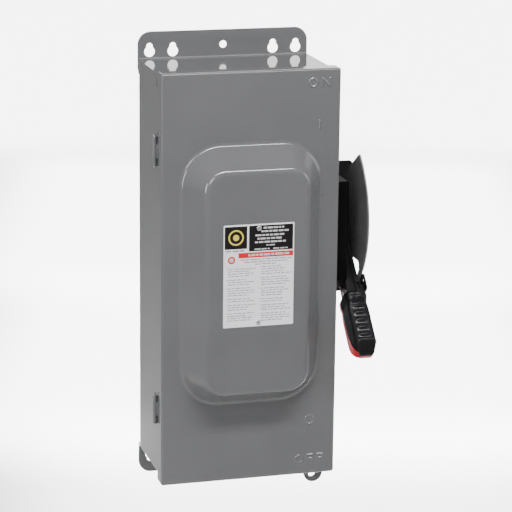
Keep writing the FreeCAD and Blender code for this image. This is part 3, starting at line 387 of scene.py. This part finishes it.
def letter_f(left, right, low, high):
    middle = low + (high - low) * 0.53
    return [[(left, low), (left, high), (right, high)], [(left, middle), (right - 1.4, middle)]]


def embossed_strokes():
    """Raised ON, I, O and OFF beside the handle's path."""
    strokes = [oval(71.7, 225.95, 4.5, 4.65)]
    strokes.append([(82.7, 221.3), (82.7, 230.6), (91.6, 221.3), (91.6, 230.6)])
    strokes.append([(80.0, 172.9), (80.0, 182.1)])
    strokes.append(oval(73.5, -174.5, 5.35, 5.35))
    strokes.append(oval(61.2, -222.8, 4.4, 4.5))
    strokes += letter_f(71.3, 78.4, -227.3, -218.3)
    strokes += letter_f(83.7, 90.5, -227.3, -218.3)
    return strokes


def stroke_height(x, z):
    """Height of the embossing, from the distance to the nearest stroke."""
    nearest = np.full_like(x, 99.0)
    for stroke in embossed_strokes():
        for (ax, az), (bx, bz) in zip(stroke, stroke[1:]):
            length = (bx - ax) ** 2 + (bz - az) ** 2
            t = np.clip(((x - ax) * (bx - ax) + (z - az) * (bz - az)) / length, 0, 1)
            nearest = np.minimum(nearest, np.hypot(x - ax - t * (bx - ax), z - az - t * (bz - az)))
    edge = np.clip((STROKE_HALF + STROKE_EDGE / 2 - nearest) / STROKE_EDGE, 0, 1)
    return STROKE_RISE * edge * edge * (3 - 2 * edge)


def cover_shell():
    """The pressed cover: one sheet with its raised panel, embossing and rolled rim."""
    half_x, half_z = [h - COVER_BEND for h in COVER_HALF]
    xs = steps((-half_x, -87, 3.0), (-87, -33, 0.8), (-33, 33, 3.3), (33, 54, 0.8), (54, 93.5, 0.5),
               (93.5, half_x, 2.2))
    (upper_low, upper_high), (lower_low, lower_high) = HINGE_NOTCHES
    zs = steps((-half_z, -230, 3.0), (-230, -215.5, 0.5), (-215.5, -182, 3.3), (-182, lower_low, 0.5),
               (lower_low, -167, 0.5), (-167, -151, 1.6), (-151, lower_high, 0.8), (lower_high, -80, 0.8),
               (-80, 91, 4.3), (91, 98.4, 0.6), (98.4, upper_low, 0.8), (upper_low, 162, 0.8),
               (162, upper_high, 1.7), (upper_high, 171, 1.1), (171, 184, 0.5), (184, 218.5, 3.4),
               (218.5, 233.5, 0.5), (233.5, half_z, 2.8))
    grid_x, grid_z = np.meshgrid(np.array(xs), np.array(zs))
    height = bulge_height(grid_x, grid_z) + stroke_height(grid_x, grid_z)
    dimple_x, dimple_z, dimple_depth = DIMPLE
    height -= dimple_depth * np.exp(-((grid_x - dimple_x) ** 2 + (grid_z - dimple_z) ** 2) / 2.2)
    columns, rows = len(xs), len(zs)
    points = [(x * MM, (COVER_FRONT - h) * MM, z * MM)
              for x, h, z in zip(grid_x.ravel(), height.ravel(), grid_z.ravel())]
    faces = []
    for r in range(rows - 1):
        for c in range(columns - 1):
            first = r * columns + c
            faces.append((first, first + 1, first + columns + 1, first + columns))
    ring = rim_start(xs, zs)
    previous = [index for index, _, _ in ring]
    levels = [(COVER_BEND * math.sin(a), COVER_FRONT + COVER_BEND * (1 - math.cos(a)))
              for a in [math.radians(18 * k) for k in range(1, 6)]]
    levels += [(COVER_BEND, y) for y in (-125.0, -119.0, NOTCH_FRONT, COVER_REAR)]
    for out, y in levels:
        current = []
        for index, outward, _ in ring:
            current.append(len(points))
            x, z = points[index][0] / MM, points[index][2] / MM
            points.append(((x + outward[0] * out) * MM, y * MM, (z + outward[1] * out) * MM))
        for k in range(len(ring)):
            n = (k + 1) % len(ring)
            if y == COVER_REAR and ring[k][2] and ring[n][2]:
                continue
            quad = (previous[k], current[k], current[n], previous[n])
            faces.append(quad if previous[k] != previous[n] else quad[:3])
        previous = current
    mesh = bpy.data.meshes.new("cover_shell")
    mesh.from_pydata(points, [], faces)
    piece = new_object("cover_shell", mesh, MATERIALS["enclosure_paint"], "cover")
    solid = piece.modifiers.new("sheet", "SOLIDIFY")
    solid.thickness = SHEET * MM
    solid.offset = -1.0
    solid.use_even_offset = True
    smooth_by_angle(mesh, 36.0)
    weighted = piece.modifiers.new("normals", "WEIGHTED_NORMAL")
    weighted.keep_sharp = True
    apply_modifiers(piece)
    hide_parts("cover_pan")


def rim_start(xs, zs):
    """Border of the front grid in order: grid index, outward direction, in a hinge notch or not."""
    columns, rows = len(xs), len(zs)
    ring = []

    def corner(index, start):
        for k in range(6):
            a = math.radians(start + 18 * k)
            ring.append((index, (math.cos(a), math.sin(a)), False))

    corner(0, 180)
    ring.extend((c, (0, -1), False) for c in range(1, columns - 1))
    corner(columns - 1, 270)
    ring.extend((r * columns + columns - 1, (1, 0), False) for r in range(1, rows - 1))
    corner(rows * columns - 1, 0)
    ring.extend(((rows - 1) * columns + c, (0, 1), False) for c in range(columns - 2, 0, -1))
    corner((rows - 1) * columns, 90)
    for r in range(rows - 2, 0, -1):
        notched = any(low - 0.01 <= zs[r] <= high + 0.01 for low, high in HINGE_NOTCHES)
        ring.append((r * columns, (-1, 0), notched))
    return ring


def flat_plate(name, outline, holes, y_front, thickness, edge, material, body):
    """A plate in an X-Z plane with holes and softly rounded edges, from closed outlines in mm."""
    curve = bpy.data.curves.new(name, "CURVE")
    curve.dimensions = "2D"
    curve.fill_mode = "BOTH"
    curve.extrude = (thickness / 2 - edge) * MM
    curve.bevel_depth = edge * MM
    curve.bevel_resolution = 2
    curve.offset = -edge * MM
    for loop in [outline] + holes:
        spline = curve.splines.new("POLY")
        spline.points.add(len(loop) - 1)
        for point, (x, z) in zip(spline.points, loop):
            point.co = (x * MM, z * MM, 0, 1)
        spline.use_cyclic_u = True
    shape = bpy.data.objects.new(name + "_outline", curve)
    bpy.context.collection.objects.link(shape)
    bpy.context.view_layer.update()
    mesh = bpy.data.meshes.new_from_object(shape.evaluated_get(bpy.context.evaluated_depsgraph_get()))
    bpy.data.objects.remove(shape)
    mesh.name = name
    turn = Matrix.Translation((0, (y_front + thickness / 2) * MM, 0)) @ Matrix.Rotation(math.pi / 2, 4, "X")
    mesh.transform(turn)
    mesh.materials.clear()
    smooth_by_angle(mesh, 50.0)
    return new_object(name, mesh, material, body)


def arc_points(x, z, radius, start, stop, count):
    angles = [math.radians(start + (stop - start) * i / (count - 1)) for i in range(count)]
    return [(x + radius * math.cos(a), z + radius * math.sin(a)) for a in angles]


FLANGE_FACE = -SHEET
TOP_FACE = 237.9
FLANGE_BEND_RADIUS = 1.5
FLANGE_BEND_HALF = 101.6


def flange_bend():
    """Rounded inside corner where the top wall flange is bent up from the top plate."""
    centre_y, centre_z = FLANGE_FACE - FLANGE_BEND_RADIUS, TOP_FACE + FLANGE_BEND_RADIUS
    root_y, root_z = FLANGE_FACE + 0.3, TOP_FACE - 0.5
    rings = []
    for x in (-FLANGE_BEND_HALF, FLANGE_BEND_HALF):
        ring = [(x, root_y, root_z), (x, root_y, centre_z)]
        ring += [(x, y, z) for y, z in arc_points(centre_y, centre_z, FLANGE_BEND_RADIUS, 0, -90, 8)]
        rings.append(ring + [(x, centre_y, root_z)])
    lofted("flange_bend", rings, MATERIALS["enclosure_paint"], "enclosure", 50.0)


def cover_eye():
    """Padlock eye that hangs from the rear edge of the cover's bottom rim."""
    x, z, radius, hole_z, hole = PADLOCK_EYE
    top = -COVER_HALF[1] + SHEET
    outline = [(x + radius, top), (x - radius, top)] + arc_points(x, z, radius, 180, 360, 33)
    flat_plate("cover_eye", outline, [arc_points(x, hole_z, hole, 0, 350, 36)], COVER_REAR - SHEET, SHEET,
               0.3, MATERIALS["enclosure_paint"], "cover")


# ---------------------------------------------------------------- label
LABEL_X = (-40.9, 41.7)
LABEL_Z = (-45.9, 73.7)
LABEL_FRONT = -162.5
LABEL_THICKNESS = 0.5
LABEL_CORNER = 1.0


class Print:
    """Flat ink on the label: rectangles and discs, each with its own material."""

    def __init__(self):
        self.points = []
        self.faces = []
        self.inks = []

    def shape(self, outline, ink, lift=0.04):
        first = len(self.points)
        self.points += [(x * MM, (LABEL_FRONT - lift) * MM, z * MM) for x, z in outline]
        self.faces.append(tuple(range(first, first + len(outline))))
        self.inks.append(ink)

    def bar(self, x0, x1, z0, z1, ink, lift=0.04):
        self.shape([(x0, z0), (x1, z0), (x1, z1), (x0, z1)], ink, lift)

    def disc(self, x, z, radius, ink, lift=0.04):
        self.shape(arc_points(x, z, radius, 0, 352.5, 48), ink, lift)


def words(ink_print, rng, x0, x1, z, height, ink, longest=9.0, lift=0.04):
    """A line of short bars, in place of words."""
    x = x0
    while x < x1 - 1.5:
        width = min(rng.uniform(2.2, longest), x1 - x)
        ink_print.bar(x, x + width, z - height / 2, z + height / 2, ink, lift)
        x += width + rng.uniform(0.8, 1.3)


def label_print():
    """A made-up rating plate: two dark header blocks, a red strip and two columns of dummy lines."""
    rng = random.Random(7)
    ink_print = Print()
    ink_print.bar(-39.7, -13.6, 45.8, 71.9, "black")
    ink_print.bar(-11.4, 40.2, 42.4, 72.0, "black")
    ink_print.disc(-26.5, 59.0, 9.0, "yellow", 0.06)
    ink_print.disc(-26.5, 59.0, 7.2, "black", 0.08)
    ink_print.disc(-26.5, 59.0, 3.6, "yellow", 0.10)
    for z, left, right in ((69.0, 5.5, 31), (65.0, 3.0, 35), (60.6, -4.0, 31), (56.6, -1.5, 29),
                           (52.6, -4.5, 32), (48.8, 9, 19), (44.6, -5, 13), (44.6, 17, 34)):
        words(ink_print, rng, left, right, z, 2.0 if z > 50 else 1.3, "white", 8.0, 0.06)
    words(ink_print, rng, -38.5, -15.0, 43.6, 1.6, "text")
    ink_print.bar(-23.5, 40.5, 35.0, 41.0, "red")
    words(ink_print, rng, -12.0, 36.0, 38.0, 2.4, "white", 16.0, 0.06)
    for x0, x1, z0, z1 in ((-39.4, -23.9, 40.8, 41.1), (-39.4, -23.9, 25.2, 25.5),
                           (-39.4, -39.1, 25.2, 41.1), (-24.2, -23.9, 25.2, 41.1)):
        ink_print.bar(x0, x1, z0, z1, "pink")
    ink_print.disc(-31.6, 33.2, 4.4, "red", 0.06)
    ink_print.disc(-31.6, 33.2, 2.6, "white", 0.08)
    for z, left, right in ((32.8, -21, 39), (30.0, -17, 36), (27.2, -4, 22)):
        words(ink_print, rng, left, right, z, 1.1, "text")
    for left, right, top in ((-38.0, -3.0, 22.6), (1.0, 39.5, 23.8)):
        z = top
        while z > -40.5:
            ink_print.bar(left, left + 1.0, z - 0.5, z + 0.5, "text")
            for _ in range(rng.choice((2, 3, 3, 4))):
                if z < -42.5:
                    break
                words(ink_print, rng, left + 2.2, rng.uniform(right - 12, right), z, 0.95, "text", 7.0)
                z -= 2.75
            z -= 1.6
    ink_print.bar(-40.2, 0.0, -33.15, -32.95, "text")
    inks = {"black": printed_ink("label_black", (0.006, 0.005, 0.005)),
            "yellow": printed_ink("label_yellow", (0.76, 0.62, 0.07)),
            "red": printed_ink("label_red", (0.68, 0.016, 0.022)),
            "white": printed_ink("label_white", (0.62, 0.60, 0.60)),
            "pink": printed_ink("label_pink", (0.72, 0.36, 0.42)),
            "text": printed_ink("label_text", (0.26, 0.255, 0.29))}
    mesh = bpy.data.meshes.new("label_print")
    mesh.from_pydata(ink_print.points, [], ink_print.faces)
    order = list(inks)
    for ink in order:
        mesh.materials.append(inks[ink])
    for polygon, ink in zip(mesh.polygons, ink_print.inks):
        polygon.material_index = order.index(ink)
    new_object("label_print", mesh, None, "cover")


def printed_ink(name, colour):
    return surface(name, colour, 0.32, variation=0.03, bump=0.02, bump_depth=0.00003)


def label_sheet():
    x0, x1 = LABEL_X
    z0, z1 = LABEL_Z
    r = LABEL_CORNER
    outline = arc_points(x1 - r, z1 - r, r, 0, 90, 6) + arc_points(x0 + r, z1 - r, r, 90, 180, 6)
    outline += arc_points(x0 + r, z0 + r, r, 180, 270, 6) + arc_points(x1 - r, z0 + r, r, 270, 360, 6)
    piece = flat_plate("label_sheet", outline, [], LABEL_FRONT, LABEL_THICKNESS, 0.12, MATERIALS["label"],
                       "cover")
    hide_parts("label_plate")


def turned(name, profile, centre, material, body):
    """A lathe shape about an axis along Y: profile of (radius, y) in mm."""
    count = 40
    points = []
    for radius, y in profile:
        for k in range(count):
            a = 2 * math.pi * k / count
            points.append(((centre[0] + radius * math.cos(a)) * MM, y * MM,
                           (centre[1] + radius * math.sin(a)) * MM))
    faces = []
    for r in range(len(profile) - 1):
        for k in range(count):
            n = (k + 1) % count
            faces.append((r * count + k, r * count + n, (r + 1) * count + n, (r + 1) * count + k))
    faces.append(tuple(range(count)))
    faces.append(tuple(range((len(profile) - 1) * count, len(profile) * count)))
    mesh = bpy.data.meshes.new(name)
    mesh.from_pydata(points, [], faces)
    outward_faces(mesh)
    smooth_by_angle(mesh, 40.0)
    return new_object(name, mesh, material, body)


def outward_faces(mesh):
    bm = bmesh.new()
    bm.from_mesh(mesh)
    bmesh.ops.recalc_face_normals(bm, faces=bm.faces)
    bm.to_mesh(mesh)
    bm.free()


def label_rivets():
    """Two hollow rivets that hold the plate."""
    for name, place in (("label_rivet_top", (0.4, 68.6)), ("label_rivet_bottom", (0.6, -41.3))):
        profile = [(3.0, LABEL_FRONT + 0.1), (3.0, LABEL_FRONT - 0.25), (2.7, LABEL_FRONT - 0.75),
                   (2.2, LABEL_FRONT - 0.95), (1.7, LABEL_FRONT - 0.85), (1.3, LABEL_FRONT - 0.35),
                   (0.7, LABEL_FRONT - 0.25)]
        turned(name, profile, place, MATERIALS["aluminium"], "cover")


# ---------------------------------------------------------------- grip
SHAFT = (-29.0, 54.0)                           # y, z of the handle's pivot
OFF_ANGLE = math.radians(47.0)
GRIP_MIDDLE = 129.65                            # x; the tables below hold (along, across) the handle
GRIP_FRONT = ((119.0, 12.0), (119.8, 14.6), (121.5, 17.2), (124.0, 18.5), (128.0, 18.7), (131.0, 18.0),
              (134.0, 16.3), (137.0, 16.3), (160.0, 16.9), (181.0, 17.4), (184.0, 17.3), (186.2, 16.6),
              (194.5, 8.4), (197.0, 6.6), (198.4, 5.0), (199.0, 3.6))
GRIP_REAR = ((119.0, -12.4), (120.4, -16.4), (122.6, -19.3), (172.0, -19.5), (180.0, -18.8),
             (186.0, -16.6), (191.0, -12.6), (195.5, -7.9), (199.0, -2.8))
GRIP_WIDTH = ((119.0, 11.0), (119.8, 12.1), (121.5, 12.65), (128.5, 12.65), (131.0, 12.0), (134.0, 11.7),
              (138.0, 12.2), (145.0, 12.65), (181.0, 12.65), (187.0, 12.1), (193.0, 10.8), (197.0, 9.3),
              (199.0, 7.8))
PART_LINE = ((118.0, -12.2), (126.0, -11.4), (152.0, -10.4), (168.0, -8.8), (180.0, -4.2), (190.0, 2.2),
             (196.0, 6.9), (199.0, 9.3))
RIBBED = (133.5, 184.0)                         # stretch of the face that is lowered between its ribs
RIB_DROP = 1.4
RIBS = ((139.2, 1.9), (148.2, 2.2), (157.6, 2.4), (167.2, 2.5), (176.6, 2.2))     # place, half length
RIB_RISE = 1.7
RIB_HALF_WIDTH = 6.0
# x, place, half width and half length of the collar's pads
PADS = ((-5.2, 123.2, 1.9, 1.2), (2.2, 123.2, 2.7, 1.2), (-5.2, 128.6, 2.1, 1.8), (2.4, 128.6, 3.1, 1.9))
PAD_RISE = 1.0
FRONT_EDGE = 6.2
REAR_EDGE = 3.4
TIP_START = 182.0
TIP_EDGE = 2.4
# faces turned further sideways than this get the darker copy of the grip's black: painted shade
PAINTED_SHADE_SIDE_NORMAL = 0.8
SPINE_START = 62.0
SPINE_X = (123.0, 139.4)
SPINE_ACROSS = (-20.0, -16.6)
SPINE_EDGE = 0.9
COLLAR_START = 118.0


def on_handle(along, across):
    """Y and Z in mm from a place along and across the handle at OFF."""
    y = SHAFT[0] - along * math.cos(OFF_ANGLE) - across * math.sin(OFF_ANGLE)
    z = SHAFT[1] - along * math.sin(OFF_ANGLE) + across * math.cos(OFF_ANGLE)
    return y, z


def grip_relief(x, along):
    """Drop of the ribbed part of the face, less the rise of its pillow ribs and of the collar's pads."""
    low, high = RIBBED
    drop = RIB_DROP * smooth_step((along - low) / 4.0) * smooth_step((high - along) / 4.0)
    rise = 0.0
    for place, half in RIBS:
        rise += RIB_RISE * math.exp(-(((x + 0.8) / RIB_HALF_WIDTH) ** 4 + ((along - place) / half) ** 2))
    for pad_x, pad_u, half_x, half_u in PADS:
        rise += PAD_RISE * math.exp(-(((x - pad_x) / half_x) ** 4 + ((along - pad_u) / half_u) ** 2))
    return drop - rise


def grip_half_ring(along, front):
    """One closed section of the grip's front or rear half, in mm."""
    half = lerp_points(GRIP_WIDTH, along)
    rear = lerp_points(GRIP_REAR, along)
    face = lerp_points(GRIP_FRONT, along)
    part = min(max(lerp_points(PART_LINE, along), rear + 1.2), face - 0.4)
    limit = face if front else rear
    sign = 1 if front else -1
    radius = min(FRONT_EDGE if front else REAR_EDGE, 0.92 * abs(limit - part), half - 1)
    if along > TIP_START and front:
        radius = min(radius, max(TIP_EDGE, FRONT_EDGE - (along - TIP_START) * 0.8))
    section = [(-half, part + (limit - sign * radius - part) * k / 6) for k in range(6)]
    for k in range(11):
        a = math.radians(9 * k)
        section.append((-half + radius * (1 - math.cos(a)), limit - sign * radius * (1 - math.sin(a))))
    flat = half - radius
    section += [(-flat + 2 * flat * k / 30, limit) for k in range(1, 30)]
    for k in range(11):
        a = math.radians(90 - 9 * k)
        section.append((half - radius * (1 - math.cos(a)), limit - sign * radius * (1 - math.sin(a))))
    section += [(half, part + (limit - sign * radius - part) * (5 - k) / 6) for k in range(6)]
    ring = []
    for x, across in section:
        if front:
            near_face = smooth_step((across - (limit - radius)) / radius) if radius > 0 else 1.0
            across -= grip_relief(x, along) * near_face
        ring.append((GRIP_MIDDLE + x, *on_handle(along, across)))
    return ring


def lofted(name, rings, material, body, angle=40.0):
    """A closed skin through rings of places in mm that have the same number of points."""
    count = len(rings[0])
    points = [(x * MM, y * MM, z * MM) for ring in rings for x, y, z in ring]
    faces = []
    for r in range(len(rings) - 1):
        for k in range(count):
            n = (k + 1) % count
            faces.append((r * count + k, r * count + n, (r + 1) * count + n, (r + 1) * count + k))
    faces.append(tuple(range(count)))
    faces.append(tuple(range((len(rings) - 1) * count, len(rings) * count)))
    mesh = bpy.data.meshes.new(name)
    mesh.from_pydata(points, [], faces)
    outward_faces(mesh)
    smooth_by_angle(mesh, angle)
    return new_object(name, mesh, material, body)


def grip():
    """The ribbed black front, the red rear and the red spine behind the arm."""
    places = steps((119.0, 126.0, 0.35), (126.0, 137.4, 0.45), (137.4, TIP_START, 0.55),
                   (TIP_START, 199.0, 0.4))
    front = lofted("grip_front_shell", [grip_half_ring(u, True) for u in places],
                   MATERIALS["grip_black"], "handle")
    # the side faces get a darker, matte copy of the same black plastic: painted shade on the grip's flanks
    front.data.materials.append(MATERIALS["grip_side_painted_shade"])
    for polygon in front.data.polygons:
        polygon.material_index = 1 if abs(polygon.normal.x) > PAINTED_SHADE_SIDE_NORMAL else 0
    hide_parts("grip_front")
    rear = lofted("grip_rear_shell", [grip_half_ring(u, False) for u in places],
                  MATERIALS["grip_red"], "handle")
    spine_places = steps((SPINE_START, SPINE_START + 1.2, 0.3), (SPINE_START + 1.2, 124.0, 6.0))
    spine = lofted("grip_spine", [spine_ring(u) for u in spine_places],
                   MATERIALS["grip_red"], "handle")
    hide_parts("grip_back")
    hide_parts("grip_back")


def spine_ring(along):
    """Rounded section of the red spine behind the arm."""
    inset = SPINE_EDGE * max(0.0, 1 - (along - SPINE_START) / 1.2) ** 2
    x0, x1 = SPINE_X[0] + inset, SPINE_X[1] - inset
    low = SPINE_ACROSS[0] + inset + max(0.0, along - COLLAR_START) * 0.4
    high = SPINE_ACROSS[1]
    r = SPINE_EDGE
    ring = []
    for cx, cv, start in ((x1 - r, high - r, 0), (x0 + r, high - r, 90), (x0 + r, low + r, 180),
                          (x1 - r, low + r, 270)):
        for k in range(5):
            a = math.radians(start + 22.5 * k)
            ring.append((cx + r * math.cos(a), *on_handle(along, cv + r * math.sin(a))))
    return ring


# ---------------------------------------------------------------- everything else from the frame
EDGE_ROUNDING = {                               # radius in mm of each node's rounded edges
    "box_wrapper": 0.5, "top_end_cap": 0.5, "bottom_end_cap": 0.5, "bottom_knockouts": 0.3,
    "top_wall_flange": 0.4, "bottom_wall_flange": 0.4,
    "box_hinge_leaves": 0.25, "cover_hinge_leaves": 0.25, "latch_bracket": 0.3, "handle_base": 0.8,
    "mechanism_plate": 0.3, "guard_bracket": 0.4, "guard_plate": 0.45, "mounting_pan": 0.3,
    "line_base": 0.6, "fuse_base": 0.6, "load_base": 0.6, "line_jaws": 0.25, "arc_chutes": 0.3,
    "arc_plates": 0.15, "line_lugs": 0.5, "load_lugs": 0.5, "rotor_bearings": 0.4, "hinge_jaws": 0.2,
    "upper_fuse_clips": 0.2, "lower_fuse_clips": 0.2, "ground_lug": 0.4, "cover_catch": 0.3,
    "cover_latch": 0.3, "handle_arm": 0.6, "lock_slide": 0.3, "rotor_crossbar": 0.3,
    "switch_blades": 0.25, "rotor_crank": 0.3, "drive_link": 0.4, "drive_crank": 0.3,
    "interlock_hook": 0.3,
}


def dress_frame():
    """Finishes for every CAD node, and copies with rounded edges in place of those listed."""
    for node, piece in frame["nodes"].items():
        piece.data.materials.clear()
        piece.data.materials.append(MATERIALS[NODE_SLOT[node]])
    for node, width in EDGE_ROUNDING.items():
        refined(node, width, material=MATERIALS["guard_steel"] if node == "guard_plate" else None)


dress_frame()
cover_shell()
cover_eye()
flange_bend()
label_sheet()
label_print()
label_rivets()
grip()
add_studio()
add_camera()
